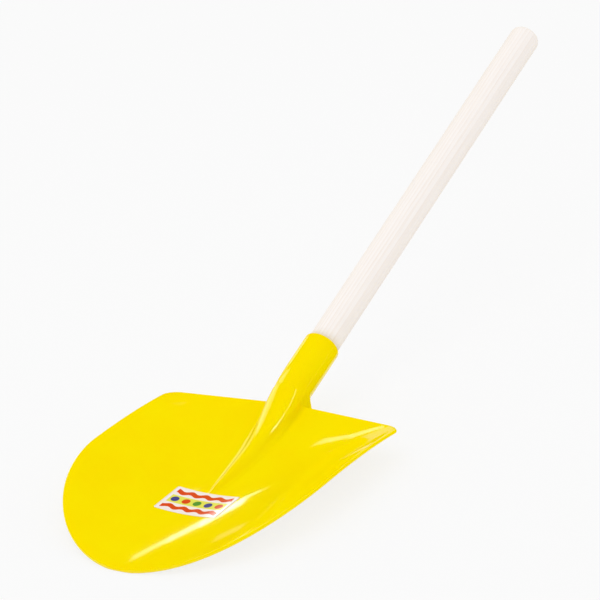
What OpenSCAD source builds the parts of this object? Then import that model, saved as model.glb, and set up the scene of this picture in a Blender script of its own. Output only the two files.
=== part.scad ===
// A child's sand shovel: a dished blade moulded in one piece with its neck and
// socket, a round wooden handle pushed into the socket and held by a screw, and a
// sticker in the dish. It lies face up with the floor of its dish on the ground,
// and the handle rises from the back of the blade.

/* [Blade] */
// Width of the blade across its wings
blade_width = 172; // [150:1:210]
// Length of the blade from its tip to the middle of its back edge
blade_length = 184; // [165:1:220]
// Thickness of the moulded wall
wall = 2; // [1.8:0.1:3]
// Radius of the dish across the blade
dish_radius = 178; // [140:1:260]
// How far the back edge stands above the floor of the dish
heel_rise = 16; // [10:0.5:20]
// Length of the blade over which the heel rises
heel_length = 90; // [80:1:110]
// Length of the rounded front of the blade
tip_length = 100; // [80:1:120]
// How far the shoulders fall back from the middle of the back edge
shoulder_fall = 7.4; // [2:0.2:12]
// Corner radius of the shoulders
shoulder_radius = 8; // [5:1:16]

/* [Ridge and socket] */
// Angle at which the handle rises from the blade
handle_angle = 19.4; // [15:0.2:24]
// Thickness of the socket's wall
socket_wall = 1.9; // [1.4:0.05:2.5]
// Length of the socket behind the back edge, along the handle
socket_length = 45.5; // [38:0.5:70]
// Length of the neck between the back edge and the handle's hidden end
neck_length = 10; // [8:0.5:14]
// Height of the handle's axis above the blade, at the back edge
axis_height = 3.7; // [3:0.1:5.5]
// Length of the ridge that runs from the back edge into the dish
ridge_length = 90; // [80:1:110]
// Height of the ridge above the dish, at the back edge
ridge_height = 14; // [12.5:0.5:16]

/* [Handle] */
// Diameter of the wooden handle
handle_diameter = 20; // [19:0.1:21]
// Length of the handle that shows behind the socket
handle_reach = 296; // [200:1:600]
// Rounding of the handle's free end
end_rounding = 4; // [1:0.5:8]

/* [Label] */
// Width of the sticker, across the blade
label_width = 45; // [30:1:60]
// Length of the sticker, along the blade
label_length = 26.5; // [16:0.5:30]
// Thickness of the sticker
label_thickness = 0.15; // [0.1:0.05:0.3]
// Corner radius of the sticker
label_corner = 1; // [0.5:0.1:3]

/* [Screw] */
// Shank diameter of the screw
screw_diameter = 3; // [2.5:0.1:4]
// Length of the screw under its head
screw_length = 12; // [9:0.5:14]
// Diameter of the screw's head
head_diameter = 6; // [5:0.1:7]
// Height of the screw's head
head_height = 1.8; // [1.5:0.1:2.2]
// Distance of the screw from the socket's mouth
screw_setback = 16; // [12:1:22]

/* [Hidden] */
$fn = 96;

// Fits and small sizes
seat_relief = 0.25;    // how much the handle is turned down, all round, where it goes into the socket
seat_show = 1;         // how far the turned stretch shows behind the socket's mouth
bore_fit = 0.05;       // radial clearance of the handle in the socket
seat_gap = 0.2;        // gap between the handle's hidden end and its stop
screw_fit = 0.05;      // radial clearance of the screw in its holes
label_lift = 0.06;     // gap under the sticker
end_chamfer = 1;       // chamfer of the handle's hidden end
mouth_rounding = 0.7;  // rounding of the socket's mouth
stop_ledge = 1.5;      // width of the ledge that the handle stops against
boss_height = 1.7;     // rise of the screw's boss from the socket
boss_margin = 0.8;     // width of the boss around the screw's head
head_fit = 0.15;       // radial clearance of the screw's head in the boss
recess_depth = 1;      // depth of the cross recess in the head
recess_width = 0.8;    // width of the cross recess
point_length = 2;      // length of the screw's point
ridge_foot = 1;        // width of the fillet at the foot of the ridge
least_ridge = 1.5;     // half width that the ridge's points keep where it has faded
slice = 0.5;           // thickness of the slices that the neck is drawn between
blend_inset = 0.25;    // how far the neck's surfaces start inside the skins that they run into
cheek_length = 7.5;    // how far the neck's upright walls reach behind the back edge
cheek_drop = 5.5;      // how far the neck's upright walls reach below the top of the back edge
overrun = 1;           // how far a cut runs past a surface

// Shape of the curves
tip_power = 0.54;      // 0.5 is an ellipse, more is a pointed front
sweep_power = 6;       // how late the rows of points bend to the back edge
width_power = 0.7;     // less than 1 widens the ridge sooner
rise_power = 0.55;     // less than 1 raises the ridge sooner
flank_power = 1;       // 0 keeps the ridge's flanks round, more draws them in
crowding = 1.5;        // more than 1 sets the ridge's first rows closer together
neck_share = 0.5;      // share of the ridge's length where it climbs to the neck
low_share = 0.55;      // share of the ridge's height that it has without the climb
web_share = 0.3;       // share of the ridge's height that is upright wall
edge_share = 0.25;     // share of a row that the ridge's points may take
neck_setback_share = 0.5; // share of the neck's length by which it starts inside the ridge
dish_power = 1.2;      // more than 1 sets the dish's points closer to the ridge

// How many points the skins have
arc_steps = 6;
dish_steps = 14;
edge_steps = 3;
tip_steps = 11;
ridge_steps = 5;
neck_steps = 7;
shoulder_steps = 4;
round_steps = 32;

// Places along the blade, from zero at its tip to blade_length at its back edge
half_width = blade_width / 2;
edge_radius = wall / 2;
heel_start = blade_length - heel_length;
ridge_start = blade_length - ridge_length;
neck_start = blade_length - ridge_length * neck_share;
shoulder_start = blade_length - shoulder_radius;
label_middle = ridge_start - label_length / 2;
neck_place = blade_length - neck_length * neck_setback_share;

// Places along the handle's axis, from zero above the back edge
seat_radius = handle_diameter / 2 - seat_relief;
bore_radius = seat_radius + bore_fit;
socket_radius = bore_radius + socket_wall;
ridge_half = socket_radius - ridge_foot / 4;
axis_base = wall + heel_rise + axis_height;
bore_start = neck_length + slice / 2;
handle_start = bore_start + seat_gap;
handle_end = socket_length + handle_reach;
handle_radius = handle_diameter / 2;
seat_end = socket_length + seat_show;

// Places out from the handle's axis, at the screw
screw_place = socket_length - screw_setback;
boss_radius = head_diameter / 2 + boss_margin;
boss_top = socket_radius + boss_height;
head_seat = boss_top - head_height;
screw_tip = head_seat - screw_length;

// Length from the blade's tip to the furthest point of the handle's rounded end
reach = blade_length + (handle_end - end_rounding) * cos(handle_angle)
      + (handle_radius - end_rounding) * sin(handle_angle) + end_rounding;

// Half the blade's width at the distance s from its tip
function outline(s) =
    s < tip_length ? half_width * pow(1 - pow(1 - s / tip_length, 2), tip_power)
  : s < shoulder_start ? half_width
  : half_width - shoulder_radius + sqrt(max(0, pow(shoulder_radius, 2) - pow(s - shoulder_start, 2)));

// How far the heel has risen at s, as a share that reaches 1 at the back edge
function heel(s) = pow(max(0, s - heel_start) / heel_length, 2);

// How far the neck has climbed at s, as a share that reaches 1 at the back edge
function climb(s) = pow(max(0, s - neck_start) / (blade_length - neck_start), 2);

// Top of the dish: an arc across the front that is drawn out to a straight back edge
function bowl(x) = dish_radius - sqrt(pow(dish_radius, 2) - pow(x, 2));
function dish(x, s) = wall + heel_rise * heel(s) + bowl(x) * (1 - heel(s));

// The ridge's half width, its height above the dish and the upright wall at its foot
function ridge_share(s) = max(0, s - ridge_start) / ridge_length;
function ridge_width(s) = ridge_half * pow(sin(90 * ridge_share(s)), width_power);
function ridge_rise(s) =
    ridge_height * (low_share * pow(ridge_share(s), rise_power) + (1 - low_share) * climb(s));
function web_rise(s) = ridge_rise(s) * web_share * climb(s);

// The rows of points bend back to follow the back edge
function sweep(x, s) = s - shoulder_fall * pow(s / blade_length, sweep_power) * abs(x) / half_width;

// The right half of one skin at s, as points [x, z] from the middle outwards
function skin(s, half, ridge_w, rise, web, drop) =
    let (foot = min(ridge_foot, ridge_w))
    concat(
        [for (i = [0 : arc_steps])
            let (a = 90 * i / arc_steps, x = ridge_w * sin(a))
            [x, dish(x, s) + web + (rise - web) * pow(cos(a), 1 + flank_power * (1 - climb(s))) - drop]],
        [for (i = [0 : dish_steps])
            let (x = ridge_w + foot + (half - ridge_w - foot) * pow(i / dish_steps, dish_power))
            [x, dish(x, s) - drop]]);

// One closed row of points across the blade: top skin, round edge and bottom skin
function row(s) =
    let (front = s < edge_radius ? sqrt(1 - pow(1 - s / edge_radius, 2)) : 1,
         edge = min(edge_radius, outline(s) / 2),
         half = outline(s) - edge,
         thick = wall * front,
         drop = (wall - thick) / 2,
         open = max(0, ridge_width(s) - wall),
         outer = min(max(ridge_width(s), least_ridge), half * edge_share),
         inner = min(max(open, least_ridge / 2), half * edge_share),
         inner_rise = ridge_rise(s) * min(1, open / wall),
         inner_web = web_rise(s) * min(1, open / wall),
         top = skin(s, half, outer, ridge_rise(s), web_rise(s), drop),
         bottom = skin(s, half, inner, inner_rise, inner_web, drop + thick),
         rim = dish(half, s) - edge_radius,
         side = [for (i = [1 : edge_steps])
                    let (a = 90 - 180 * i / (edge_steps + 1))
                    [half + edge * cos(a), rim + thick / 2 * sin(a)]],
         right = concat(top, side, [for (i = [len(bottom) - 1 : -1 : 0]) bottom[i]]))
    concat(
        [for (p = right) [p[0], sweep(p[0], s), p[1]]],
        [for (i = [len(right) - 2 : -1 : 1]) [-right[i][0], sweep(right[i][0], s), right[i][1]]]);

// Rows stand close where the outline, the ridge or the edge curves
blade_rows = concat(
    [for (i = [1 : edge_steps - 1]) edge_radius * (1 - cos(90 * i / edge_steps))],
    [for (i = [0 : tip_steps]) edge_radius + (ridge_start - edge_radius) * pow(i / tip_steps, 2)],
    [for (i = [1 : ridge_steps]) ridge_start + (neck_start - ridge_start) * pow(i / ridge_steps, crowding)],
    [for (i = [1 : neck_steps]) neck_start + (shoulder_start - neck_start) * i / neck_steps],
    [for (i = [1 : shoulder_steps]) shoulder_start + shoulder_radius * sin(90 * i / shoulder_steps)]);

// Faces of the skin: the left half is the mirror image of the right half
function facet(a, b, c, d) = [[a, b, c], [a, c, d]];
function turned(faces) = [for (f = faces) [for (i = [len(f) - 1 : -1 : 0]) f[i]]];
function mirrored(faces, count) = turned([for (f = faces) [for (k = f) (count - k % count) % count + floor(k / count) * count]]);

// One end of the skin: strips between its top and its bottom, and the round edge
function cap(count) =
    let (under = count / 2, corner = arc_steps + dish_steps + 1)
    concat(
        [for (k = [0 : corner - 1]) each facet(k, k + 1, under - k - 1, under - k)],
        [[for (k = [corner : under - corner]) k]]);

// One strip of the skin, between a row and the next one
function strip(count) = [for (k = [0 : count / 2 - 1]) each facet(k, count + k, count + k + 1, k + 1)];

// The faces, counted on by whole rows
function moved(faces, count, rows) = [for (f = faces) [for (k = f) k + count * rows]];

// The dish with its ridge, as one skin of even thickness
module blade_skin() {
    rows = [for (s = blade_rows) row(s)];
    count = len(rows[0]);
    last = len(rows) - 1;
    front = concat(cap(count), mirrored(cap(count), count));
    band = concat(strip(count), mirrored(strip(count), count));
    polyhedron(
        points = [for (r = rows) each r],
        faces = concat(
            front,
            [for (i = [0 : last - 1]) each moved(band, count, i)],
            moved(turned(front), count, last)),
        convexity = 6);
}

// Centres its children along the part's length on the origin
module centred() {
    translate([0, -reach / 2, 0])
        children();
}

// Puts its children on the handle's axis, with +Z along it towards the free end
module on_axis(along) {
    translate([0, blade_length, axis_base])
        rotate([handle_angle - 90, 0, 0])
            translate([0, 0, along])
                children();
}

// Puts its children at the screw, with +Z out of the underside of the socket
module at_screw(out) {
    on_axis(screw_place)
        rotate([-90, 0, 0])
            translate([0, 0, out])
                children();
}

// Half the section of a round bar whose far end is rounded, to be revolved
module bar_profile(radius, length, rounding) {
    square([radius, length - rounding]);
    square([radius - rounding, length]);
    translate([radius - rounding, length - rounding])
        intersection() {
            circle(rounding);
            square(rounding);
        }
}

// A flat rectangle with round corners, centred
module rounded_rectangle(width, length, corner) {
    square([width - 2 * corner, length], center = true);
    square([width, length - 2 * corner], center = true);
    for (x = [-1, 1], y = [-1, 1])
        translate([x * (width / 2 - corner), y * (length / 2 - corner)])
            circle(corner);
}

// The ridge's section near the back edge: a round top on upright walls
module ridge_section(half, rise, web, depth) {
    translate([-half, -depth])
        square([2 * half, web + depth]);
    translate([0, web])
        intersection() {
            scale([1, (rise - web) / half]) circle(half);
            translate([-half, 0]) square([2 * half, rise]);
        }
}

// The neck: it runs from the ridge's section at s, between upright walls, to the socket
module neck(s, inset, depth, half) {
    hull() {
        translate([0, s, dish(0, s)])
            rotate([90, 0, 0])
                linear_extrude(slice)
                    ridge_section(ridge_width(s) - inset, ridge_rise(s) - inset, web_rise(s), depth,
                                  $fn = round_steps);
        translate([-half, blade_length + cheek_length - slice, axis_base - axis_height - depth])
            cube([2 * half, slice, axis_height + depth]);
        on_axis(neck_length)
            cylinder(r = half, h = slice, $fn = round_steps);
    }
}

// The socket, with a rounded mouth and a boss for the screw
module socket() {
    on_axis(neck_length)
        rotate_extrude()
            bar_profile(socket_radius, socket_length - neck_length, mouth_rounding);
    at_screw(0)
        cylinder(r = boss_radius, h = boss_top);
}

// The neck and the socket are hollow from the underside of the ridge to the socket's mouth
module blade() {
    color("gold")
        centred()
            union() {
                blade_skin();
                difference() {
                    union() {
                        neck(neck_place, blend_inset, cheek_drop, socket_radius - blend_inset);
                        socket();
                    }
                    neck(neck_place - overrun, wall + blend_inset, ridge_height, bore_radius - stop_ledge);
                    on_axis(bore_start)
                        cylinder(r = bore_radius, h = socket_length);
                    at_screw(0)
                        cylinder(r = screw_diameter / 2 + screw_fit, h = boss_top);
                    at_screw(head_seat)
                        cylinder(r = head_diameter / 2 + head_fit, h = boss_height + overrun);
                }
            }
}

// A round wooden stick: its hidden end is turned down, chamfered and drilled, its free end is rounded
module handle() {
    color("wheat")
        centred()
            difference() {
                union() {
                    on_axis(handle_start)
                        cylinder(r1 = seat_radius - end_chamfer, r2 = seat_radius, h = end_chamfer);
                    on_axis(handle_start + end_chamfer)
                        cylinder(r = seat_radius, h = seat_end - handle_start);
                    on_axis(seat_end)
                        rotate_extrude()
                            bar_profile(handle_radius, handle_end - seat_end, end_rounding);
                }
                at_screw(screw_tip - seat_gap)
                    cylinder(r = screw_diameter / 2 + screw_fit, h = handle_diameter);
            }
}

// A thin sheet that lies in the curve of the dish
module label() {
    color("white")
        centred()
            translate([0, label_middle, 0])
                intersection() {
                    linear_extrude(dish_radius)
                        rounded_rectangle(label_width, label_length, label_corner);
                    translate([0, 0, wall + dish_radius])
                        rotate([90, 0, 0])
                            difference() {
                                cylinder(r = dish_radius - label_lift, h = 2 * label_length,
                                         center = true, $fn = 360);
                                cylinder(r = dish_radius - label_lift - label_thickness, h = 3 * label_length,
                                         center = true, $fn = 360);
                            }
                }
}

// A pan-headed screw with a cross recess and a plain point
module retaining_screw() {
    color("silver")
        centred() {
            at_screw(head_seat)
                difference() {
                    cylinder(r = head_diameter / 2, h = head_height);
                    for (turn = [0, 90])
                        rotate([0, 0, turn])
                            translate([-head_diameter / 4, -recess_width / 2, head_height - recess_depth])
                                cube([head_diameter / 2, recess_width, recess_depth + overrun]);
                }
            at_screw(screw_tip + point_length)
                cylinder(r = screw_diameter / 2, h = screw_length - point_length + slice);
            at_screw(screw_tip)
                cylinder(r1 = screw_diameter / 8, r2 = screw_diameter / 2, h = point_length);
        }
}

blade();
handle();
label();
retaining_screw();
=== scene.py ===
"""Builds a child's sand shovel on its CAD frame: plastic blade, wooden handle, sticker and screw."""

import math

import bmesh
import bpy
from mathutils import Matrix, Vector


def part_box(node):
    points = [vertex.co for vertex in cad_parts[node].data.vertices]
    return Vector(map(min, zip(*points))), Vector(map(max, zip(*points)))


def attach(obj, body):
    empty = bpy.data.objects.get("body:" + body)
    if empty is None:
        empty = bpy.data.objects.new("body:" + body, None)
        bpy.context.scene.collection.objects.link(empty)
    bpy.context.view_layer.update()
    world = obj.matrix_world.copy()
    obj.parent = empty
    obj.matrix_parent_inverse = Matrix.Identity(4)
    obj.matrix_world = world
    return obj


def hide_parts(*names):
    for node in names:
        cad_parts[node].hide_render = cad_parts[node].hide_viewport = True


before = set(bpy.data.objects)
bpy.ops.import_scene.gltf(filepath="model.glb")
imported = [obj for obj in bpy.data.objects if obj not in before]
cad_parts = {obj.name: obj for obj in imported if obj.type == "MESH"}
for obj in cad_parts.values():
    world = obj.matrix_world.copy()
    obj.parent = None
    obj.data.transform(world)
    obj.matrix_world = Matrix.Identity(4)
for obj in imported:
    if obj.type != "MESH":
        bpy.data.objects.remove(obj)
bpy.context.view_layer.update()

bl_info = {
    "name": "Sand Shovel",
    "version": (1, 0, 0),
    "blender": (4, 5, 0),
    "location": "View3D > Sidebar > Shovel",
    "description": "Builds a child's sand shovel, its materials, its studio and its camera",
    "category": "Add Mesh",
}

# The blade's tip lies as far in front of the frame's middle as the handle's end lies behind it,
# and distances along the shovel count from the tip
TIP_Y = -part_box("handle")[1].y
MM = 0.001

# Sides of the turned pieces, rows along the handle and round its end, and steps across and along the sticker
BOSS_SIDES = 40
HANDLE_SIDES = 72
HANDLE_ROWS = 40
END_ROWS = 8
LABEL_STEPS = (44, 26)
# A turned piece ends on a ring of a small radius, so that no face shrinks to a needle
BOSS_CORE = 0.3 * MM
HANDLE_CORE = 0.4 * MM


# ---- Settings ----


def length(name, description, default, low=0.0, high=1.0):
    """A length in metres, shown in the scene's own units."""
    return bpy.props.FloatProperty(
        name=name, description=description, default=default, min=low, max=high,
        unit="LENGTH", subtype="DISTANCE", precision=5,
    )


def angle(name, description, degrees):
    """An angle, kept in radians and shown in degrees."""
    return bpy.props.FloatProperty(
        name=name, description=description, default=math.radians(degrees), unit="ROTATION", subtype="ANGLE"
    )


def colour(name, description, srgb):
    """A colour from its sRGB hex value."""
    return bpy.props.FloatVectorProperty(
        name=name, description=description, default=linear(srgb), size=3, min=0.0, max=1.0, subtype="COLOR",
    )


def linear(srgb):
    """Linear red, green and blue of an sRGB hex value such as FFE000."""
    parts = [int(srgb[i : i + 2], 16) / 255 for i in (0, 2, 4)]
    return tuple(p / 12.92 if p <= 0.04045 else ((p + 0.055) / 1.055) ** 2.4 for p in parts)


class BladeSettings(bpy.types.PropertyGroup):
    """Sizes and colours of the moulded blade, neck and socket, and of the screw in it."""

    width: length("Width", "Width of the blade across its wings", 0.172)
    length: length("Length", "From the tip to the middle of the back edge", 0.184)
    wall: length("Wall", "Thickness of the moulded wall", 0.002)
    dish_radius: length("Dish radius", "Radius of the dish across the blade", 0.178)
    heel_rise: length("Heel rise", "How far the back edge stands above the dish's floor", 0.016)
    heel_length: length("Heel length", "Length over which the heel rises", 0.090)
    tip_length: length("Tip length", "Length of the rounded front", 0.100)
    tip_power: bpy.props.FloatProperty(
        name="Tip power", description="0.5 is an ellipse, more is a pointed front", default=0.54, min=0.4, max=0.8
    )
    shoulder_fall: length("Shoulder fall", "How far the shoulders stand in front of the back edge's middle", 0.0074)
    shoulder_radius: length("Shoulder radius", "Corner radius of the shoulders", 0.008)
    ridge_length: length("Ridge length", "Length of the ridge that runs into the dish", 0.090)
    ridge_height: length("Ridge height", "Height of the ridge above the dish, at the back edge", 0.014)
    ridge_half: length("Ridge half width", "Half width of the ridge at the back edge", 0.01145)
    ridge_fillet: length("Ridge fillet", "Radius at the foot of the ridge, at the back edge", 0.0022)
    handle_angle: angle("Handle angle", "Rise of the handle from the ground", 19.4)
    axis_height: length("Axis height", "Height of the handle's axis above the back edge", 0.0037)
    socket_radius: length("Socket radius", "Outer radius of the socket", 0.0117)
    socket_length: length("Socket length", "From the back edge to the mouth, along the handle", 0.0455)
    bore_radius: length("Bore radius", "Inner radius of the socket", 0.0098)
    mouth_rounding: length("Mouth rounding", "Rounding of the socket's mouth", 0.0007)
    neck_blend: length("Neck blend", "Length behind the back edge in which the ridge turns into the socket", 0.006)
    crest_rounding: length("Crest rounding", "Softness of the bend between the ridge's line and the socket's", 0.003)
    cheek_length: length("Cheek length", "How far the neck's walls reach behind the back edge", 0.0075)
    cheek_drop: length("Cheek drop", "How far they reach below the top of the back edge", 0.0055)
    edge_rounding: length("Edge rounding", "Rounding of the moulding's sharp edges", 0.00035)
    boss_radius: length("Boss radius", "Radius of the screw's boss", 0.0038)
    boss_rise: length("Boss rise", "Rise of the screw's boss from the socket", 0.0017)
    boss_root: length("Boss root", "Height of the boss's wall, most of it inside the socket's", 0.0032)
    boss_rim: length("Boss rim", "Width of the boss's rim round the screw's head", 0.00065)
    boss_rounding: length("Boss rounding", "Rounding of the boss's top", 0.0003)
    head_depth: length("Head depth", "Depth of the hole for the screw's head", 0.00185)
    screw_setback: length("Screw setback", "Distance of the screw from the socket's mouth", 0.016)
    colour: colour("Plastic", "Colour of the plastic", "FBE300")
    flow_colour: colour("Flow marks", "Colour of the plastic's deeper patches", "FBDF00")
    gloss_colour: colour("Gloss", "Tint of what the plastic mirrors", "FFFAE0")
    screw_colour: colour("Screw", "Colour of the screw's plating", "C4C8CC")


class HandleSettings(bpy.types.PropertyGroup):
    """Sizes and colours of the wooden handle."""

    radius: length("Radius", "Radius of the stick", 0.010)
    start: length("Start", "Where the hidden end lies, along the handle from the back edge", 0.01045)
    end: length("End", "Where the free end lies, along the handle from the back edge", 0.3415)
    rounding: length("Rounding", "Rounding of the free end", 0.004)
    chamfer: length("Chamfer", "Chamfer of the hidden end", 0.001)
    seat_end: length("Seat end", "Where the thinner stretch in the socket ends, along the handle", 0.0465)
    seat_relief: length("Seat relief", "How much the stretch in the socket is turned down", 0.00025)
    seat_step: length("Seat step", "Length of the step from there to the full stick", 0.00005)
    colour: colour("Wood", "Colour between the growth rings", "F9F4F2")
    grain_colour: colour("Grain", "Colour of the growth rings", "F3EAE4")
    ring_spacing: length("Ring spacing", "Distance between growth rings", 0.0022)
    fibre_spacing: length("Fibre spacing", "Width of a bundle of fibres", 0.0006)


class LabelSettings(bpy.types.PropertyGroup):
    """Size and colours of the sticker in the dish."""

    width: length("Width", "Width of the sticker, across the blade", 0.045)
    length: length("Length", "Length of the sticker, along the blade", 0.0265)
    middle: length("Middle", "From the blade's tip to the sticker's middle", 0.08075)
    thickness: length("Thickness", "Thickness of the film", 0.00015)
    lift: length("Lift", "Height of its underside over the dish", 0.00006)
    corner: length("Corner", "Corner radius", 0.001)
    print_half: length("Print", "Half the width of the printing", 0.020)
    wave_length: length("Wave length", "Length of one swing of a wave", 0.010)
    wave_swing: length("Wave swing", "How far a wave swings to each side", 0.0009)
    wave_place: length("Wave place", "From the sticker's middle to the middle of a wave", 0.0082)
    wave_half: length("Wave", "Half the width of a wave's line", 0.0019)
    band_half: length("Band", "Half the height of the band of dots", 0.004)
    dot_step: length("Dot step", "From one dot to the next", 0.008)
    dot_radius: length("Dot radius", "Radius of a dot", 0.0027)
    ground: colour("Ground", "Colour of the film", "F4EAEB")
    red: colour("Red", "Colour of the waves and of two dots", "D93519")
    yellow: colour("Yellow", "Colour of the band between the waves", "E3E25C")
    blue: colour("Blue", "Colour of two dots", "182A92")
    green: colour("Green", "Colour of the middle dot", "3C9038")


class StudioSettings(bpy.types.PropertyGroup):
    """The camera, the lamps, the floor and the cloth round it."""

    target: bpy.props.FloatVectorProperty(
        name="Target", description="Point in the middle of the picture", default=(0.03703, -0.09082, 0.10239),
        size=3, unit="LENGTH", subtype="TRANSLATION",
    )
    distance: length("Distance", "From the camera to the target", 2.0, high=10.0)
    azimuth: angle("Azimuth", "How far round to the blade's right the camera stands", 37.109)
    elevation: angle("Elevation", "How far down the camera looks", 23.926)
    roll: angle("Roll", "Tilt of the camera about its view", -9.209)
    lens: bpy.props.FloatProperty(
        name="Lens", description="Focal length on a 36 mm wide sensor, in millimetres",
        default=203.05, min=20, max=400, unit="CAMERA",
    )
    softbox_power: bpy.props.FloatProperty(
        name="Softbox power", description="Power of the lamp overhead, in watts",
        default=5.0, min=0, max=50, unit="POWER",
    )
    floor_size: length("Floor size", "Side of the floor", 6.0, high=20.0)
    floor_gap: length("Floor gap", "How far the floor lies below the shovel", 0.0002)
    drape_radius: length("Drape radius", "How far from the shovel the cloth hangs", 2.6, high=10.0)
    drape_colour: colour("Drape", "Colour of the cloth", "EBD300")
    # Painted shade: a darker gold that stands in for the shade in the cloth's folds, on a smooth dome
    fold_shade_colour: colour("Folds", "Colour of the cloth's folds", "E3CB00")
    floor_colour: colour("Floor", "Colour of the floor in the picture", "FAFAFA")
    floor_white: bpy.props.FloatProperty(
        name="Floor white", description="Share of the floor's brightness that no shadow dims",
        default=0.86, min=0, max=1, subtype="FACTOR",
    )
    air: bpy.props.FloatProperty(
        name="Air", description="Brightness of the light that comes from all round", default=0.92, min=0, max=2
    )


# ---- Helpers ----


def smooth_step(value, low, high):
    """0 below low and 1 above high, with an S curve between them."""
    share = min(max((value - low) / (high - low), 0.0), 1.0)
    return share * share * (3 - 2 * share)


def mix(a, b, share):
    """The value that lies at share between a and b."""
    return a + (b - a) * share


def soft_min(a, b, width):
    """The lesser of two values, with their corner rounded over width."""
    share = min(max(0.5 + 0.5 * (b - a) / width, 0.0), 1.0)
    return mix(b, a, share) - width * share * (1 - share)


def mesh_object(name, bm, material, bevel=0.0):
    """Turns a bmesh into a smooth-shaded object that rides on the part's one body."""
    bmesh.ops.recalc_face_normals(bm, faces=bm.faces)
    mesh = bpy.data.meshes.new(name)
    bm.to_mesh(mesh)
    bm.free()
    mesh.polygons.foreach_set("use_smooth", [True] * len(mesh.polygons))
    mesh.materials.append(material)
    piece = bpy.data.objects.new(name, mesh)
    bpy.context.scene.collection.objects.link(piece)
    if bevel:
        edge = piece.modifiers.new("rounded_edges", "BEVEL")
        edge.width = bevel
        edge.segments = 2
        edge.limit_method = "ANGLE"
        edge.angle_limit = math.radians(50)
    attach(piece, "root")
    return piece


def lathe(bm, profile, place, steps):
    """Turns a profile of (radius, height) points round the Z axis of place, and closes nothing."""
    rings = []
    for radius, height in profile:
        ring = []
        for i in range(steps):
            turn = 2 * math.pi * i / steps
            ring.append(bm.verts.new(place @ Vector((radius * math.cos(turn), radius * math.sin(turn), height))))
        rings.append(ring)
    for ring, after in zip(rings, rings[1:]):
        for i in range(steps):
            j = (i + 1) % steps
            bm.faces.new((ring[i], ring[j], after[j], after[i]))
    return rings


def handle_axis(blade, along):
    """Frame on the handle's axis: Z towards the free end, Y out of the underside, zero above the back edge."""
    tilt = Matrix.Rotation(blade.handle_angle - math.pi / 2, 4, "X")
    foot = Vector((0, TIP_Y + blade.length, blade.wall + blade.heel_rise + blade.axis_height))
    return Matrix.Translation(foot) @ tilt @ Matrix.Translation((0, 0, along))


def screw_axis(blade):
    """Frame at the screw: Z out of the underside of the socket."""
    return handle_axis(blade, blade.socket_length - blade.screw_setback) @ Matrix.Rotation(-math.pi / 2, 4, "X")


def add_node(tree, kind, inputs=None, **settings):
    """Adds a node, sets its attributes, and gives its inputs a value or another node's output, by name or number."""
    made = tree.nodes.new(kind)
    for key, value in settings.items():
        setattr(made, key, value)
    for key, value in (inputs or {}).items():
        if isinstance(value, bpy.types.NodeSocket):
            tree.links.new(value, made.inputs[key])
        else:
            made.inputs[key].default_value = value
    return made


def new_material(name):
    """An empty node material and its tree."""
    material = bpy.data.materials.new(name)
    material.use_nodes = True
    material.node_tree.nodes.clear()
    return material, material.node_tree


def opaque(tone):
    """A colour with the alpha that a colour socket takes."""
    return (*tone, 1.0)


# ---- Materials ----


def polypropylene_gloss(blade):
    """Polypropylene from a polished mould: an even gloss with a faint ripple, and light that soaks in a little."""
    material, tree = new_material("polypropylene_gloss_moulded")
    place = add_node(tree, "ShaderNodeTexCoord").outputs["Object"]
    # Flow of the melt: soft patches 35 mm across, a shade deeper than the rest
    flow = add_node(tree, "ShaderNodeTexNoise", {"Vector": place, "Scale": 1 / (35 * MM), "Detail": 2.0})
    share = add_node(tree, "ShaderNodeMapRange", {"Value": flow.outputs["Fac"], "From Min": 0.35, "From Max": 0.65})
    tone = add_node(
        tree, "ShaderNodeMix",
        {"Factor": share.outputs["Result"], "A": opaque(blade.flow_colour), "B": opaque(blade.colour)},
        data_type="RGBA",
    )
    # Ripple of the moulded skin: 6 mm waves about a thousandth of a millimetre high
    ripple = add_node(
        tree, "ShaderNodeTexNoise", {"Vector": place, "Scale": 1 / (6 * MM), "Detail": 1.0, "Roughness": 0.4}
    )
    skin = add_node(
        tree, "ShaderNodeBump", {"Height": ripple.outputs["Fac"], "Strength": 0.1, "Distance": 0.01 * MM}
    )
    # Handling marks: finer patches where the gloss is a little duller
    marks = add_node(
        tree, "ShaderNodeTexNoise", {"Vector": place, "Scale": 1 / (12 * MM), "Detail": 5.0, "Roughness": 0.6}
    )
    gloss = add_node(
        tree, "ShaderNodeMapRange",
        {"Value": marks.outputs["Fac"], "From Min": 0.3, "From Max": 0.75, "To Min": 0.05, "To Max": 0.08},
    )
    surface = add_node(
        tree, "ShaderNodeBsdfPrincipled",
        {
            "Base Color": tone.outputs["Result"], "Roughness": gloss.outputs["Result"],
            "Normal": skin.outputs["Normal"], "IOR": 1.45, "Specular Tint": opaque(blade.gloss_colour),
            "Subsurface Weight": 0.12, "Subsurface Radius": (1.0, 0.6, 0.1), "Subsurface Scale": 1.5 * MM,
        },
    )
    add_node(tree, "ShaderNodeOutputMaterial", {"Surface": surface.outputs["BSDF"]})
    return material


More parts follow.
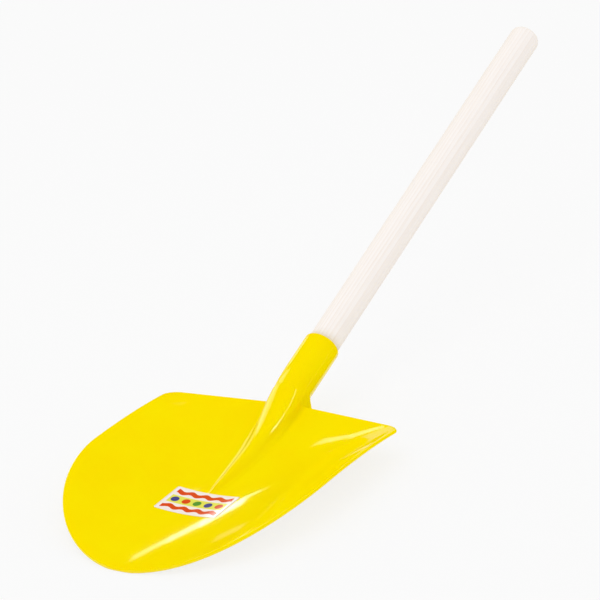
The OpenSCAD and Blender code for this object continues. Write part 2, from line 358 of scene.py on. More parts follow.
def birch_sanded(blade, handle):
    """Birch, turned and sanded: a pale, almost white wood with faint long fibres and broad soft rings."""
    material, tree = new_material("birch_turned_sanded")
    place = add_node(tree, "ShaderNodeTexCoord").outputs["Object"]
    # The wood's own axes: its fibres run along the handle, and are drawn out fifty times
    along = add_node(
        tree, "ShaderNodeMapping", {"Vector": place, "Rotation": (blade.handle_angle - math.pi / 2, 0, 0)},
        vector_type="TEXTURE",
    )
    drawn = add_node(
        tree, "ShaderNodeVectorMath", {0: along.outputs["Vector"], 1: (1, 1, 0.02)}, operation="MULTIPLY"
    ).outputs["Vector"]
    fibres = add_node(
        tree, "ShaderNodeTexNoise",
        {"Vector": drawn, "Scale": 1 / handle.fibre_spacing, "Detail": 3.0, "Roughness": 0.55},
    )
    # A wave texture draws one band in 2 pi / 20 of its input
    rings = add_node(
        tree, "ShaderNodeTexWave",
        {"Vector": drawn, "Scale": math.pi / 10 / handle.ring_spacing, "Distortion": 2.5, "Detail Scale": 0.6},
        wave_type="BANDS", bands_direction="X", wave_profile="SAW",
    )
    # Fibres and rings together, fibres a little stronger
    grain = add_node(
        tree, "ShaderNodeMix", {"Factor": 0.35, "A": fibres.outputs["Fac"], "B": rings.outputs["Fac"]}
    )
    share = add_node(
        tree, "ShaderNodeMapRange", {"Value": grain.outputs["Result"], "From Min": 0.25, "From Max": 0.6}
    )
    tone = add_node(
        tree, "ShaderNodeMix",
        {"Factor": share.outputs["Result"], "A": opaque(handle.grain_colour), "B": opaque(handle.colour)},
        data_type="RGBA",
    )
    raised = add_node(
        tree, "ShaderNodeBump", {"Height": fibres.outputs["Fac"], "Strength": 0.3, "Distance": 0.06 * MM}
    )
    surface = add_node(
        tree, "ShaderNodeBsdfPrincipled",
        {"Base Color": tone.outputs["Result"], "Normal": raised.outputs["Normal"], "Roughness": 0.62, "IOR": 1.5},
    )
    add_node(tree, "ShaderNodeOutputMaterial", {"Surface": surface.outputs["BSDF"]})
    return material


def printed_film(label):
    """Polypropylene film, printed and varnished: white, with a red wave along each side and a row of dots."""
    material, tree = new_material("polypropylene_film_printed")
    flat = add_node(tree, "ShaderNodeUVMap", uv_map="flat_mm")
    # The UVs hold millimetres from the sticker's middle
    axes = add_node(tree, "ShaderNodeSeparateXYZ", {"Vector": flat.outputs["UV"]})
    x, y = axes.outputs["X"], axes.outputs["Y"]
    aside = add_node(tree, "ShaderNodeMath", {0: x}, operation="ABSOLUTE").outputs[0]
    away = add_node(tree, "ShaderNodeMath", {0: y}, operation="ABSOLUTE").outputs[0]
    print_half = label.print_half / MM
    printed = add_node(tree, "ShaderNodeMath", {0: aside, 1: print_half}, operation="LESS_THAN").outputs[0]
    # Two waves, each the mirror image of the other
    turn = add_node(tree, "ShaderNodeMath", {0: x, 1: 2 * math.pi * MM / label.wave_length}, operation="MULTIPLY")
    swing = add_node(tree, "ShaderNodeMath", {0: turn.outputs[0]}, operation="COSINE")
    middle = add_node(
        tree, "ShaderNodeMath", {0: swing.outputs[0], 1: label.wave_swing / MM, 2: label.wave_place / MM},
        operation="MULTIPLY_ADD",
    )
    wave = add_node(
        tree, "ShaderNodeMath", {0: away, 1: middle.outputs[0], 2: label.wave_half / MM}, operation="COMPARE"
    )
    # The band between them, and a row of dots on it: ping-pong counts from each dot to half way to the next
    band = add_node(tree, "ShaderNodeMath", {0: away, 1: label.band_half / MM}, operation="LESS_THAN")
    beside = add_node(tree, "ShaderNodeMath", {0: x, 1: label.dot_step / 2 / MM}, operation="PINGPONG")
    spoke = add_node(tree, "ShaderNodeCombineXYZ", {"X": beside.outputs[0], "Y": y})
    reach = add_node(tree, "ShaderNodeVectorMath", {0: spoke.outputs["Vector"]}, operation="LENGTH")
    dot = add_node(
        tree, "ShaderNodeMath", {0: reach.outputs["Value"], 1: label.dot_radius / MM}, operation="LESS_THAN"
    )
    # Each dot takes its ink from where it stands along the row
    stand = add_node(tree, "ShaderNodeMapRange", {"Value": x, "From Min": -print_half, "From Max": print_half})
    inks = add_node(tree, "ShaderNodeValToRGB", {"Fac": stand.outputs["Result"]})
    inks.color_ramp.interpolation = "CONSTANT"
    row = (label.blue, label.red, label.green, label.blue, label.red)
    stops = inks.color_ramp.elements
    stops[1].position = 1 / len(row)
    for i in range(2, len(row)):
        stops.new(i / len(row))
    for stop, ink in zip(stops, row):
        stop.color = opaque(ink)
    colour_now = opaque(label.ground)
    for mask, ink in (
        (wave.outputs[0], opaque(label.red)),
        (band.outputs[0], opaque(label.yellow)),
        (dot.outputs[0], inks.outputs["Color"]),
    ):
        within = add_node(tree, "ShaderNodeMath", {0: mask, 1: printed}, operation="MULTIPLY")
        layer = add_node(
            tree, "ShaderNodeMix", {"Factor": within.outputs[0], "A": colour_now, "B": ink}, data_type="RGBA"
        )
        colour_now = layer.outputs["Result"]
    # Varnish: patches 3 mm across, a little glossier or duller
    varnish = add_node(tree, "ShaderNodeTexNoise", {"Vector": flat.outputs["UV"], "Scale": 1 / 3, "Detail": 3.0})
    sheen = add_node(tree, "ShaderNodeMapRange", {"Value": varnish.outputs["Fac"], "To Min": 0.08, "To Max": 0.16})
    surface = add_node(
        tree, "ShaderNodeBsdfPrincipled",
        {"Base Color": colour_now, "Roughness": sheen.outputs["Result"], "IOR": 1.49},
    )
    add_node(tree, "ShaderNodeOutputMaterial", {"Surface": surface.outputs["BSDF"]})
    return material


def zinc_plated_steel(blade):
    """Steel, cold headed and zinc plated: a bluish grey metal whose plating shines unevenly."""
    material, tree = new_material("steel_zinc_plated")
    place = add_node(tree, "ShaderNodeTexCoord").outputs["Object"]
    # Spangle of the plating, 0.8 mm across
    plating = add_node(tree, "ShaderNodeTexNoise", {"Vector": place, "Scale": 1 / (0.8 * MM), "Detail": 2.0})
    shine = add_node(tree, "ShaderNodeMapRange", {"Value": plating.outputs["Fac"], "To Min": 0.25, "To Max": 0.5})
    surface = add_node(
        tree, "ShaderNodeBsdfPrincipled",
        {"Base Color": opaque(blade.screw_colour), "Roughness": shine.outputs["Result"], "Metallic": 1.0},
    )
    add_node(tree, "ShaderNodeOutputMaterial", {"Surface": surface.outputs["BSDF"]})
    return material


def seen_directly(tree):
    """1 for camera, glossy and transmission rays, to which the background is pale, and 0 for diffuse ones."""
    rays = add_node(tree, "ShaderNodeLightPath").outputs
    mirrored = add_node(
        tree, "ShaderNodeMath", {0: rays["Is Camera Ray"], 1: rays["Is Glossy Ray"]}, operation="MAXIMUM"
    )
    seen = add_node(
        tree, "ShaderNodeMath", {0: mirrored.outputs[0], 1: rays["Is Transmission Ray"]}, operation="MAXIMUM"
    )
    return seen.outputs[0]


def gold_satin(studio):
    """Satin dyed golden yellow: mirrored in the plastic, it keeps the yellow deep where white would pale it."""
    material, tree = new_material("satin_dyed_gold")
    place = add_node(tree, "ShaderNodeTexCoord").outputs["Object"]
    # Painted shade of soft folds in the hanging cloth, 400 mm across: the dome is smooth, and these patches take a
    # darker gold
    fold_shade = add_node(tree, "ShaderNodeTexNoise", {"Vector": place, "Scale": 1 / (400 * MM), "Detail": 1.0})
    tone = add_node(
        tree, "ShaderNodeMix",
        {"Factor": fold_shade.outputs["Fac"], "A": opaque(studio.fold_shade_colour), "B": opaque(studio.drape_colour)},
        data_type="RGBA",
    )
    surface = add_node(tree, "ShaderNodeBsdfDiffuse", {"Color": tone.outputs["Result"], "Roughness": 1.0})
    add_node(tree, "ShaderNodeOutputMaterial", {"Surface": surface.outputs["BSDF"]})
    return material


def studio_paper(studio):
    """Matt background paper: the camera sees it nearly white, and it keeps the shadows."""
    material, tree = new_material("background_paper")
    place = add_node(tree, "ShaderNodeTexCoord").outputs["Object"]
    # Tooth of the paper, drawn 4 mm wide so that it can show
    tooth = add_node(tree, "ShaderNodeTexNoise", {"Vector": place, "Scale": 1 / (4 * MM), "Detail": 3.0})
    height = add_node(
        tree, "ShaderNodeBump", {"Height": tooth.outputs["Fac"], "Strength": 0.02, "Distance": 0.1 * MM}
    )
    paper = add_node(
        tree, "ShaderNodeBsdfDiffuse", {"Color": opaque(studio.floor_colour), "Normal": height.outputs["Normal"]}
    )
    # What is seen of the paper is mostly its own white, so its shadows stay faint
    white = add_node(tree, "ShaderNodeEmission", {"Color": opaque(studio.floor_colour), "Strength": 1.0})
    share = add_node(tree, "ShaderNodeMath", {0: seen_directly(tree), 1: studio.floor_white}, operation="MULTIPLY")
    surface = add_node(
        tree, "ShaderNodeMixShader", {0: share.outputs[0], 1: paper.outputs["BSDF"], 2: white.outputs["Emission"]}
    )
    add_node(tree, "ShaderNodeOutputMaterial", {"Surface": surface.outputs["Shader"]})
    return material


# ---- Shape of the moulding ----


class Moulding:
    """The curves of the blade, the neck and the socket, in metres. s is the distance from the blade's tip."""

    # Steps round a section, and the power that crowds the dish's steps near the ridge
    arch_steps = 14
    wall_steps = 8
    fillet_steps = 5
    dish_steps = 34
    dish_crowding = 1.15
    rim_steps = 5
    # Rows along the blade and the socket, and powers that crowd them where the shape turns
    edge_rows = 5
    front_rows = 36
    front_crowding = 2
    ridge_rows = 22
    ridge_crowding = 1.4
    neck_rows = 18
    shoulder_rows = 8
    socket_rows = 16
    mouth_rows = 4
    # Rows behind the back edge, in millimetres from it
    neck_places = (0.4, 1.2, 2.2, 3.2, 4.2, 5.2, 6.2, 7.0, 7.6, 8.2, 8.8, 9.4, 10.2, 11.2, 12.4)
    # The socket's rows lean as the neck's do at first, and stand square to its axis from this share of its length
    square_share = 0.6
    # The ridge: its least half width, its fillet where it fades out, the most of a row's half that it takes,
    # how far before the neck its sides begin to stand up, and how narrow its hollow gets
    least_half = 1.5 * MM
    fade_fillet = 1.0 * MM
    most_share = 0.25
    upright_lead = 5 * MM
    least_hollow = 0.4
    # How fast the ridge widens and rises, and the share of its height that it gains before the neck
    widening = 0.7
    rising = 0.55
    early_rise = 0.55
    # How sharply the rows bend to the back edge, so that the front stays as it is
    sweep_power = 6
    # The neck's open underside closes to a tube between these places, before and after the end of its cheeks
    closing_before = 0.5 * MM
    closing_after = 2.5 * MM

    def __init__(self, blade):
        self.b = blade
        self.half = blade.width / 2
        self.heel_start = blade.length - blade.heel_length
        self.ridge_start = blade.length - blade.ridge_length
        self.neck_start = blade.length - blade.ridge_length / 2
        self.shoulder_start = blade.length - blade.shoulder_radius
        self.axis_base = blade.wall + blade.heel_rise + blade.axis_height
        self.slope = math.tan(blade.handle_angle)
        self.upright = 1 / math.cos(blade.handle_angle)

    def outline(self, s):
        """Half the blade's width at s."""
        if s < self.b.tip_length:
            return self.half * (1 - (1 - s / self.b.tip_length) ** 2) ** self.b.tip_power
        corner = max(0.0, s - self.shoulder_start)
        radius = self.b.shoulder_radius
        return self.half - radius + math.sqrt(max(0.0, radius**2 - corner**2))

    def heel(self, s):
        """Share of the heel's rise at s."""
        return (max(0.0, s - self.heel_start) / self.b.heel_length) ** 2

    def dish(self, x, s):
        """Height of the dish's top: an arc across the front that straightens towards the back edge."""
        bowl = self.b.dish_radius - math.sqrt(self.b.dish_radius**2 - x * x)
        return self.b.wall + self.b.heel_rise * self.heel(s) + bowl * (1 - self.heel(s))

    def sweep(self, x, s):
        """Y of a point: the rows bend to follow the back edge."""
        bend = (s / self.b.length) ** self.sweep_power
        return TIP_Y + s - self.b.shoulder_fall * bend * abs(x) / self.half

    def ridge_share(self, s):
        """How far s lies along the ridge: 0 at its start, 1 at the back edge."""
        return max(0.0, s - self.ridge_start) / self.b.ridge_length

    def climb(self, s):
        """Share of the neck's climb at s."""
        return (max(0.0, s - self.neck_start) / (self.b.length - self.neck_start)) ** 2

    def ridge_half(self, s):
        """Half the ridge's width at s."""
        return self.b.ridge_half * math.sin(math.pi / 2 * self.ridge_share(s)) ** self.widening

    def ridge_rise(self, s):
        """Height of the ridge above the dish at s."""
        low = self.early_rise * self.ridge_share(s) ** self.rising
        return self.b.ridge_height * (low + (1 - self.early_rise) * self.climb(s))

    def crown(self, t, half, rise, spring, foot):
        """Section of the neck, from its crest (t = 0) over the spring line down to the foot of its wall (t = 1)."""
        bend = self.arch_steps / (self.arch_steps + self.wall_steps)
        if t <= bend:
            turn = math.pi / 2 * t / bend
            return half * math.sin(turn), spring + (rise - spring) * math.cos(turn)
        return half, mix(spring, foot, (t - bend) / (1 - bend))

    def tube(self, t, radius):
        """Section of the socket: (sideways, up) from its axis, from its crest (t = 0) to its lowest line (t = 1)."""
        bend = self.arch_steps / (self.arch_steps + self.wall_steps)
        turn = math.pi / 2 * (t / bend if t <= bend else 1 + (t - bend) / (1 - bend))
        return radius * math.sin(turn), radius * math.cos(turn)

    def steps(self):
        """Places round a section, from its crest (0) to the foot of its wall (1)."""
        count = self.arch_steps + self.wall_steps
        return [i / count for i in range(count + 1)]

    def half_row(self, s):
        """Right half of the row at s: crown, fillet, dish, rim, and the same again along the underside."""
        front = math.sqrt(1 - (1 - s / (self.b.wall / 2)) ** 2) if s < self.b.wall / 2 else 1.0
        rim = min(self.b.wall / 2, self.outline(s) / 2)
        edge = self.outline(s) - rim
        wall = self.b.wall * front
        drop = (self.b.wall - wall) / 2
        half = min(max(self.ridge_half(s), self.least_half), edge * self.most_share)
        rise = self.ridge_rise(s)
        high = smooth_step(s, self.neck_start - self.upright_lead, self.b.length)
        fillet = mix(min(self.fade_fillet, half), self.b.ridge_fillet, high)
        reach = half + fillet

        def bell(x):
            return rise * (1 + math.cos(math.pi * min(x / reach, 1.0))) / 2

        crown = []
        for t in self.steps():
            x, z = self.crown(t, half, rise, self.b.axis_height * high, fillet)
            crown.append((mix(t * half, x, high), mix(bell(t * half), z, high)))
        for i in range(1, self.fillet_steps + 1):
            turn = math.pi / 2 * i / self.fillet_steps
            low_x = half + fillet * i / self.fillet_steps
            x, z = half + fillet * (1 - math.cos(turn)), fillet * (1 - math.sin(turn))
            crown.append((mix(low_x, x, high), mix(bell(low_x), z, high)))
        shares = [(i / self.dish_steps) ** self.dish_crowding for i in range(1, self.dish_steps + 1)]
        dish = [reach + (edge - reach) * share for share in shares]
        # The underside of the ridge is hollow where the ridge is wide enough
        hollow = max(half - wall, self.least_hollow * half) / half
        raised = max(0.0, half - wall) / half
        top = [(x, self.dish(x, s) + z - drop) for x, z in crown]
        top += [(x, self.dish(x, s) - drop) for x in dish]
        middle = self.dish(edge, s) - self.b.wall / 2
        turned = [math.pi / 2 - math.pi * i / (self.rim_steps + 1) for i in range(1, self.rim_steps + 1)]
        side = [(edge + rim * math.cos(a), middle + wall / 2 * math.sin(a)) for a in turned]
        under = [(x * hollow, self.dish(x * hollow, s) + z * raised - drop - wall) for x, z in crown]
        under += [(x, self.dish(x, s) - drop - wall) for x in dish]
        return [Vector((x, self.sweep(x, s), z)) for x, z in top + side + under[::-1]]

    def crest(self, s):
        """Height of the neck's crest behind the back edge, where the ridge's line bends into the socket's."""
        end = self.b.length
        top, before = (self.dish(0, place) + self.ridge_rise(place) for place in (end, end - MM))
        ridge = top + (top - before) / MM * (s - end)
        return soft_min(ridge, self.axis(s) + self.b.socket_radius * self.upright, self.b.crest_rounding)

    def axis(self, s):
        """Height of the handle's axis at s."""
        return self.axis_base + self.slope * (s - self.b.length)

    def neck_row(self, s):
        """Right half of the neck at s, in an upright plane: its outside, then its hollow."""
        end = self.b.length
        cheeks = end + self.b.cheek_length
        blend = smooth_step(s, end, end + self.b.neck_blend)
        closing = smooth_step(s, cheeks - self.closing_before, cheeks + self.closing_after)
        foot = self.b.wall + self.b.heel_rise - self.b.cheek_drop
        half = mix(self.b.ridge_half, self.b.socket_radius, blend)
        inner = mix(self.b.ridge_half - self.b.wall, self.b.bore_radius, blend)
        inner_crest = self.dish(0, end) - self.b.wall + self.b.ridge_height * (1 - self.b.wall / self.b.ridge_half)
        inner_top = mix(inner_crest, self.axis(s) + self.b.bore_radius * self.upright, blend)
        rows = []
        outside = (half, self.b.socket_radius, self.crest(s))
        inside = (inner, self.b.bore_radius, inner_top)
        for width, radius, top in (outside, inside):
            points = []
            for t in self.steps():
                x, z = self.crown(t, width, top, self.axis(s), foot)
                round_x, up = self.tube(t, radius)
                round_z = self.axis(s) + up * self.upright
                lower = closing if round_z < self.axis(s) else 0.0
                points.append(Vector((mix(x, round_x, lower), TIP_Y + s, mix(z, round_z, lower))))
            rows.append(points)
        return rows[0] + rows[1][::-1]

    def socket_row(self, along, outer, inner, lean):
        """Right half of the socket: lean 1 cuts it upright, as the neck's rows are, and 0 square to its axis."""
        place = handle_axis(self.b, 0)
        rows = []
        for radius in (outer, inner):
            points = []
            for t in self.steps():
                x, up = self.tube(t, radius)
                points.append(place @ Vector((x, -up, along + lean * up * self.slope)))
            rows.append(points)
        return rows[0] + rows[1][::-1]


def blade_places(shape):
    """Distances from the tip at which the blade's rows stand, closer where the shape turns."""
    b = shape.b
    edge = b.wall / 2
    quarter = math.pi / 2
    places = [edge * (1 - math.cos(quarter * i / shape.edge_rows)) for i in range(1, shape.edge_rows)]
    for start, end, rows, crowding in (
        (edge, shape.ridge_start, shape.front_rows, shape.front_crowding),
        (shape.ridge_start, shape.neck_start, shape.ridge_rows, shape.ridge_crowding),
        (shape.neck_start, shape.shoulder_start, shape.neck_rows, 1),
    ):
        # Each stretch starts where the one before it ended, and only the first needs its own first row
        first = 0 if start == edge else 1
        places += [mix(start, end, (i / rows) ** crowding) for i in range(first, rows + 1)]
    turns = [quarter * i / shape.shoulder_rows for i in range(1, shape.shoulder_rows + 1)]
    return places + [shape.shoulder_start + b.shoulder_radius * math.sin(turn) for turn in turns]


def mirrored_ring(bm, half_row):
    """Vertices of a closed row from its right half, whose first and last points lie on the middle plane."""
    right = [bm.verts.new(p) for p in half_row]
    left = [bm.verts.new((-p.x, p.y, p.z)) for p in half_row]
    return right, left


def bridge(bm, one, two, skip=()):
    """Faces between two rows, on the right and on the left."""
    for side in (0, 1):
        for i in range(len(one[side]) - 1):
            if i not in skip:
                bm.faces.new((one[side][i], one[side][i + 1], two[side][i + 1], two[side][i]))


def close_row(bm, row, first, last):
    """Faces between the outside and the inside of a row, from point first to point last of its outside."""
    for side in (0, 1):
        points = row[side]
        for i in range(first, last):
            bm.faces.new((points[i], points[i + 1], points[-i - 2], points[-i - 1]))


def moulding_mesh(blade):
    """The whole moulding as one skin: blade, ridge, neck, socket and the screw's boss."""
    shape = Moulding(blade)
    bm = bmesh.new()
    sheet = [mirrored_ring(bm, shape.half_row(s)) for s in blade_places(shape)]
    for one, two in zip(sheet, sheet[1:]):
        bridge(bm, one, two)
    outside = shape.arch_steps + shape.wall_steps
    skin = outside + shape.fillet_steps + shape.dish_steps
    close_row(bm, sheet[0], 0, skin)
    close_row(bm, sheet[-1], outside, skin)
    for row in (sheet[0], sheet[-1]):
        for side in (0, 1):
            bm.faces.new(row[side][skin : len(row[side]) - skin])

    # The neck goes on from the middle of the last row
    last = sheet[-1]
    start = tuple(side[: outside + 1] + side[-outside - 1 :] for side in last)
    end = blade.length
    neck = [end + place * MM for place in shape.neck_places]
    rows = [start] + [mirrored_ring(bm, shape.neck_row(s)) for s in neck]
    first = (neck[-1] - end) * shape.upright
    rounding = blade.mouth_rounding
    straight = blade.socket_length - rounding
    for i in range(1, shape.socket_rows + 1):
        along = mix(first, straight, i / shape.socket_rows)
        lean = 1 - smooth_step(along, first, mix(first, straight, shape.square_share))
        row = shape.socket_row(along, blade.socket_radius, blade.bore_radius, lean)
        rows.append(mirrored_ring(bm, row))
    for i in range(1, shape.mouth_rows + 1):
        turn = math.pi / 2 * i / shape.mouth_rows
        outer = blade.socket_radius - rounding * (1 - math.cos(turn))
        row = shape.socket_row(straight + rounding * math.sin(turn), outer, blade.bore_radius, 0.0)
        rows.append(mirrored_ring(bm, row))
    closed = end + blade.cheek_length + shape.closing_after
    for i, (one, two) in enumerate(zip(rows, rows[1:])):
        # Where the socket is a whole tube, its halves meet below and need no wall between them
        whole = i > 0 and (i > len(neck) or neck[i - 1] >= closed)
        bridge(bm, one, two, skip=(outside,) if whole else ())
    close_row(bm, rows[-1], 0, outside)
    bmesh.ops.remove_doubles(bm, verts=bm.verts, dist=1e-7)

    # The screw's boss stands on the underside of the socket
    top = blade.socket_radius + blade.boss_rise
    radius = blade.boss_radius
    rounding = blade.boss_rounding
    # Half way round a quarter circle, a corner stands this far inside both its sides
    eased = 0.3 * rounding
    hole = radius - blade.boss_rim
    floor = top - blade.head_depth
    profile = [
        (radius, top - blade.boss_root), (radius, top - rounding), (radius - eased, top - eased),
        (radius - rounding, top), (hole, top), (hole, floor), (BOSS_CORE, floor),
    ]
    lathe(bm, profile, screw_axis(blade), BOSS_SIDES)
    return bm


def handle_mesh(blade, handle):
    """The stick, turned about its axis: chamfered hidden end, sanded seat and a rounded free end."""
    bm = bmesh.new()
    seat = handle.radius - handle.seat_relief
    full = handle.seat_end + handle.seat_step
    flat = handle.end - handle.rounding
    profile = [
        (HANDLE_CORE, handle.start), (seat - handle.chamfer, handle.start),
        (seat, handle.start + handle.chamfer), (seat, handle.seat_end),
    ]
    profile += [(handle.radius, mix(full, flat, i / HANDLE_ROWS)) for i in range(HANDLE_ROWS + 1)]
    for i in range(1, END_ROWS + 1):
        turn = math.pi / 2 * i / END_ROWS
        radius = handle.radius - handle.rounding * (1 - math.cos(turn))
        profile.append((radius, flat + handle.rounding * math.sin(turn)))
    profile.append((HANDLE_CORE, handle.end))
    rings = lathe(bm, profile, handle_axis(blade, 0), HANDLE_SIDES)
    bm.faces.new(rings[0])
    bm.faces.new(rings[-1])
    return bm


def label_mesh(blade, label):
    """A sheet that lies in the curve of the dish, with round corners and its flat measures as UVs."""
    shape = Moulding(blade)
    bm = bmesh.new()
    flat = bm.loops.layers.uv.new("flat_mm")
    across, down = LABEL_STEPS
    grid, measures = [], {}
    for j in range(down + 1):
        # The first and last steps are short, so that the corners come out round
        y = -label.length / 2 * math.cos(math.pi * j / down)
        inset = max(0.0, label.corner - (label.length / 2 - abs(y)))
        half = label.width / 2 - label.corner + math.sqrt(max(0.0, label.corner**2 - inset**2))
        line = []
        for i in range(across + 1):
            x = half * (2 * i / across - 1)
            vertex = bm.verts.new((x, TIP_Y + label.middle + y, shape.dish(x, label.middle) + label.lift))
            measures[vertex] = (x / MM, y / MM)
            line.append(vertex)
        grid.append(line)
    for lower, upper in zip(grid, grid[1:]):
        for i in range(across):
            face = bm.faces.new((lower[i], lower[i + 1], upper[i + 1], upper[i]))
            for loop in face.loops:
                loop[flat].uv = measures[loop.vert]
    return bm


# ---- Stage ----


# The dome of cloth: its sides, its rows from the rim to the top, how high its rim hangs,
# and the radius of the ring that closes it
DRAPE_SIDES = 48
DRAPE_ROWS = 12
DRAPE_GAP = 10 * MM
DRAPE_CORE = 10 * MM
# The sheet of cloth beside the neck: its corners and its height
FLAG_CORNERS = ((0.022, -0.062), (0.9, -0.062), (0.9, 0.9), (0.022, 0.9))
FLAG_HEIGHT = 0.1 * MM
# The softbox overhead: where it hangs, the place that it faces, and its side
SOFTBOX_PLACE = (-0.1, -0.3, 1.8)
SOFTBOX_TARGET = (0, -0.05, 0)
SOFTBOX_SIDE = 1.6
# The camera's sensor, in millimetres, and how far it sees
SENSOR_WIDTH = 36
CLIP_END = 20
# Honeycombed lamps that show in the gloss: one end, the other, the place that they face, then
# their width, their radiance and the angle in degrees that the honeycomb lets through
STRIPS = (
    ("strip_front_tip", (-0.209, -0.002, 0.166), (-0.204, 0.020, 0.139), (0.006, -0.225, 0.002), 0.0060, 3.0, 30),
    ("strip_front_mid", (-0.211, 0.024, 0.145), (-0.205, 0.044, 0.118), (0.013, -0.205, 0.003), 0.0080, 5.0, 20),
    ("strip_front", (-0.214, 0.050, 0.125), (-0.202, 0.075, 0.093), (0.023, -0.179, 0.003), 0.0110, 8.0, 13),
    ("strip_front_low", (-0.209, 0.027, 0.063), (-0.199, 0.042, 0.035), (0.047, -0.207, 0.008), 0.0080, 0.4, 36),
    ("strip_wing_left", (-0.190, 0.085, 0.195), (-0.173, 0.129, 0.166), (0.050, -0.095, 0.014), 0.0140, 2.2, 36),
    ("strip_wing_right", (-0.173, 0.126, 0.162), (-0.119, 0.181, 0.153), (0.067, -0.086, 0.017), 0.0250, 2.2, 36),
    ("panel_top", (0.174, -0.101, 0.326), (0.225, -0.091, 0.296), (0.007, -0.108, 0.008), 0.0400, 36.0, 12),
    ("panel_right", (0.235, -0.084, 0.292), (0.315, -0.060, 0.254), (0.007, -0.108, 0.008), 0.0360, 30.0, 20),
    ("card_left", (-0.395, -0.030, 0.170), (-0.355, 0.065, 0.170), (-0.006, -0.090, 0.020), 0.3200, 2.3, 100),
    ("card_low", (-0.375, 0.045, 0.075), (-0.300, 0.155, 0.075), (-0.006, -0.118, 0.006), 0.1400, 2.6, 18),
)


def cloth(name, bm, material):
    """Cloth that only the gloss of the pieces mirrors."""
    mesh = bpy.data.meshes.new(name)
    bm.to_mesh(mesh)
    bm.free()
    mesh.materials.append(material)
    sheet = bpy.data.objects.new(name, mesh)
    bpy.context.scene.collection.objects.link(sheet)
    sheet.visible_camera = sheet.visible_diffuse = sheet.visible_shadow = sheet.visible_transmission = False


def drape_mesh(radius):
    """A dome of cloth hung round the set, against whose even gold the lamps show as lines."""
    bm = bmesh.new()
    turns = [math.pi / 2 * i / DRAPE_ROWS for i in range(DRAPE_ROWS)]
    profile = [(radius * math.cos(turn), radius * math.sin(turn)) for turn in turns] + [(DRAPE_CORE, radius)]
    rings = lathe(bm, profile, Matrix.Translation((0, 0, DRAPE_GAP)), DRAPE_SIDES)
    bm.faces.new(rings[-1])
    return bm


def flag_mesh():
    """A sheet of the same cloth beside the neck, which keeps the floor's white out of the socket's gloss."""
    bm = bmesh.new()
    bm.faces.new([bm.verts.new((x, y, FLAG_HEIGHT)) for x, y in FLAG_CORNERS])
    return bm


def softbox(power):
    """The lamp overhead, which lights the pieces and isn't mirrored in them."""
    light = bpy.data.lights.new("softbox_over", "AREA")
    light.shape = "RECTANGLE"
    light.size = light.size_y = SOFTBOX_SIDE
    light.energy = power
    lamp = bpy.data.objects.new("softbox_over", light)
    lamp.location = SOFTBOX_PLACE
    lamp.rotation_euler = (Vector(SOFTBOX_TARGET) - Vector(SOFTBOX_PLACE)).to_track_quat("-Z", "Y").to_euler()
    lamp.visible_glossy = False
    bpy.context.scene.collection.objects.link(lamp)


def strip(name, one, two, target, width, radiance, degrees):
    """A lamp from one point to the other behind a honeycomb, which keeps its light to what it faces."""
    one, two, target = Vector(one), Vector(two), Vector(target)
    spread = math.radians(degrees)
    along = (two - one).normalized()
    middle = (one + two) / 2
    face = target - middle
    face = (face - face.dot(along) * along).normalized()
    light = bpy.data.lights.new(name, "AREA")
    light.shape = "RECTANGLE"
    light.size, light.size_y = (two - one).length, width
    light.spread = spread
    light.energy = radiance * math.pi * light.size * width * (1 - spread / 2 / math.tan(spread / 2))
    lamp = bpy.data.objects.new(name, light)
    turn = Matrix((along, (-face).cross(along), -face)).transposed().to_4x4()
    lamp.matrix_world = Matrix.Translation(middle) @ turn
    lamp.visible_camera = lamp.visible_diffuse = False
    bpy.context.scene.collection.objects.link(lamp)


def studio_world(studio):
    """Even light from all round, and the floor's colour where a ray sees past the floor."""
    world = bpy.data.worlds.new("studio_air")
    world.use_nodes = True
    tree = world.node_tree
    tree.nodes.clear()
    tone = add_node(
        tree, "ShaderNodeMix",
        {"Factor": seen_directly(tree), "A": opaque([studio.air] * 3), "B": opaque(studio.floor_colour)},
        data_type="RGBA",
    )
    air = add_node(tree, "ShaderNodeBackground", {"Color": tone.outputs["Result"], "Strength": 1.0})
    add_node(tree, "ShaderNodeOutputWorld", {"Surface": air.outputs["Background"]})
    return world


def studio_camera(studio):
    """The camera, turned about its target."""
    sight = Vector((
        -math.sin(studio.azimuth) * math.cos(studio.elevation),
        math.cos(studio.azimuth) * math.cos(studio.elevation),
        -math.sin(studio.elevation),
    ))
    level = sight.cross(Vector((0, 0, 1))).normalized()
    above = level.cross(sight)
    right = level * math.cos(studio.roll) + above * math.sin(studio.roll)
    up = above * math.cos(studio.roll) - level * math.sin(studio.roll)
    eye = bpy.data.cameras.new("camera")
    eye.lens = studio.lens
    eye.sensor_width = SENSOR_WIDTH
    eye.clip_end = CLIP_END
    camera = bpy.data.objects.new("camera", eye)
    turn = Matrix((right, up, -sight)).transposed().to_4x4()
    camera.matrix_world = Matrix.Translation(Vector(studio.target) - sight * studio.distance) @ turn
    bpy.context.scene.collection.objects.link(camera)
    return camera


# ---- Operators ----


class SHOVEL_OT_moulding(bpy.types.Operator):
    """Build the blade with its ridge, neck and socket as one moulding"""

    bl_idname = "shovel.moulding"
    bl_label = "Moulded Blade"

    def execute(self, context):
        blade = context.scene.shovel_blade
        material = polypropylene_gloss(blade)
        piece = mesh_object("blade_moulding", moulding_mesh(blade), material, blade.edge_rounding)
        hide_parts("blade")
        return {"FINISHED"}


class SHOVEL_OT_handle(bpy.types.Operator):
    """Build the wooden handle"""

    bl_idname = "shovel.handle"
    bl_label = "Wooden Handle"

    def execute(self, context):
        scene = context.scene
        material = birch_sanded(scene.shovel_blade, scene.shovel_handle)
        piece = mesh_object("handle_stick", handle_mesh(scene.shovel_blade, scene.shovel_handle), material)
        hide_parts("handle")
        return {"FINISHED"}


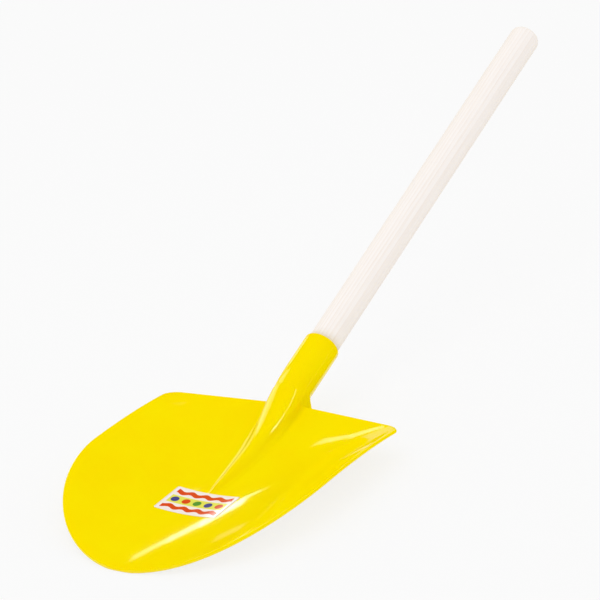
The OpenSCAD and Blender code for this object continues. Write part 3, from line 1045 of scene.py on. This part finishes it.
class SHOVEL_OT_label(bpy.types.Operator):
    """Build the sticker in the dish"""

    bl_idname = "shovel.label"
    bl_label = "Sticker"

    def execute(self, context):
        label = context.scene.shovel_label
        piece = mesh_object("label_film", label_mesh(context.scene.shovel_blade, label), printed_film(label))
        film = piece.modifiers.new("film_thickness", "SOLIDIFY")
        film.thickness = label.thickness
        film.offset = 1.0
        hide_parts("label")
        return {"FINISHED"}


class SHOVEL_OT_screw(bpy.types.Operator):
    """Finish the retaining screw under the socket"""

    bl_idname = "shovel.screw"
    bl_label = "Retaining Screw"

    def execute(self, context):
        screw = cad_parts["retaining_screw"]
        screw.data.materials.clear()
        screw.data.materials.append(zinc_plated_steel(context.scene.shovel_blade))
        return {"FINISHED"}


class SHOVEL_OT_studio(bpy.types.Operator):
    """Set up the floor, the lamps and the camera"""

    bl_idname = "shovel.studio"
    bl_label = "Studio"

    def execute(self, context):
        scene = context.scene
        studio = scene.shovel_studio
        bpy.ops.mesh.primitive_plane_add(size=studio.floor_size, location=(0, 0, -studio.floor_gap))
        floor = context.object
        floor.name = "studio_floor"
        floor.data.materials.append(studio_paper(studio))
        scene.world = studio_world(studio)
        gold = gold_satin(studio)
        cloth("studio_drape", drape_mesh(studio.drape_radius), gold)
        cloth("studio_flag", flag_mesh(), gold)
        softbox(studio.softbox_power)
        for lamp in STRIPS:
            strip(*lamp)
        scene.camera = studio_camera(studio)
        scene.view_settings.view_transform = "Standard"
        return {"FINISHED"}


class SHOVEL_PT_panel(bpy.types.Panel):
    """The shovel's settings and the steps that build it"""

    bl_label = "Sand Shovel"
    bl_idname = "SHOVEL_PT_panel"
    bl_space_type = "VIEW_3D"
    bl_region_type = "UI"
    bl_category = "Shovel"

    def draw(self, context):
        for title, group, operators in (
            ("Blade", context.scene.shovel_blade, ("shovel.moulding", "shovel.screw")),
            ("Handle", context.scene.shovel_handle, ("shovel.handle",)),
            ("Label", context.scene.shovel_label, ("shovel.label",)),
            ("Studio", context.scene.shovel_studio, ("shovel.studio",)),
        ):
            box = self.layout.box()
            box.label(text=title)
            for setting in group.bl_rna.properties:
                if setting.identifier not in ("rna_type", "name"):
                    box.prop(group, setting.identifier)
            for name in operators:
                box.operator(name)


CLASSES = (
    BladeSettings, HandleSettings, LabelSettings, StudioSettings,
    SHOVEL_OT_moulding, SHOVEL_OT_handle, SHOVEL_OT_label, SHOVEL_OT_screw, SHOVEL_OT_studio,
    SHOVEL_PT_panel,
)


SETTINGS = {
    "shovel_blade": BladeSettings, "shovel_handle": HandleSettings,
    "shovel_label": LabelSettings, "shovel_studio": StudioSettings,
}


def register():
    for item in CLASSES:
        bpy.utils.register_class(item)
    for name, group in SETTINGS.items():
        setattr(bpy.types.Scene, name, bpy.props.PointerProperty(type=group))


def unregister():
    for name in SETTINGS:
        delattr(bpy.types.Scene, name)
    for item in reversed(CLASSES):
        bpy.utils.unregister_class(item)


def main():
    """Build the shovel and its studio."""
    register()
    bpy.ops.shovel.studio()
    bpy.ops.shovel.moulding()
    bpy.ops.shovel.handle()
    bpy.ops.shovel.label()
    bpy.ops.shovel.screw()


if __name__ == "__main__":
    main()
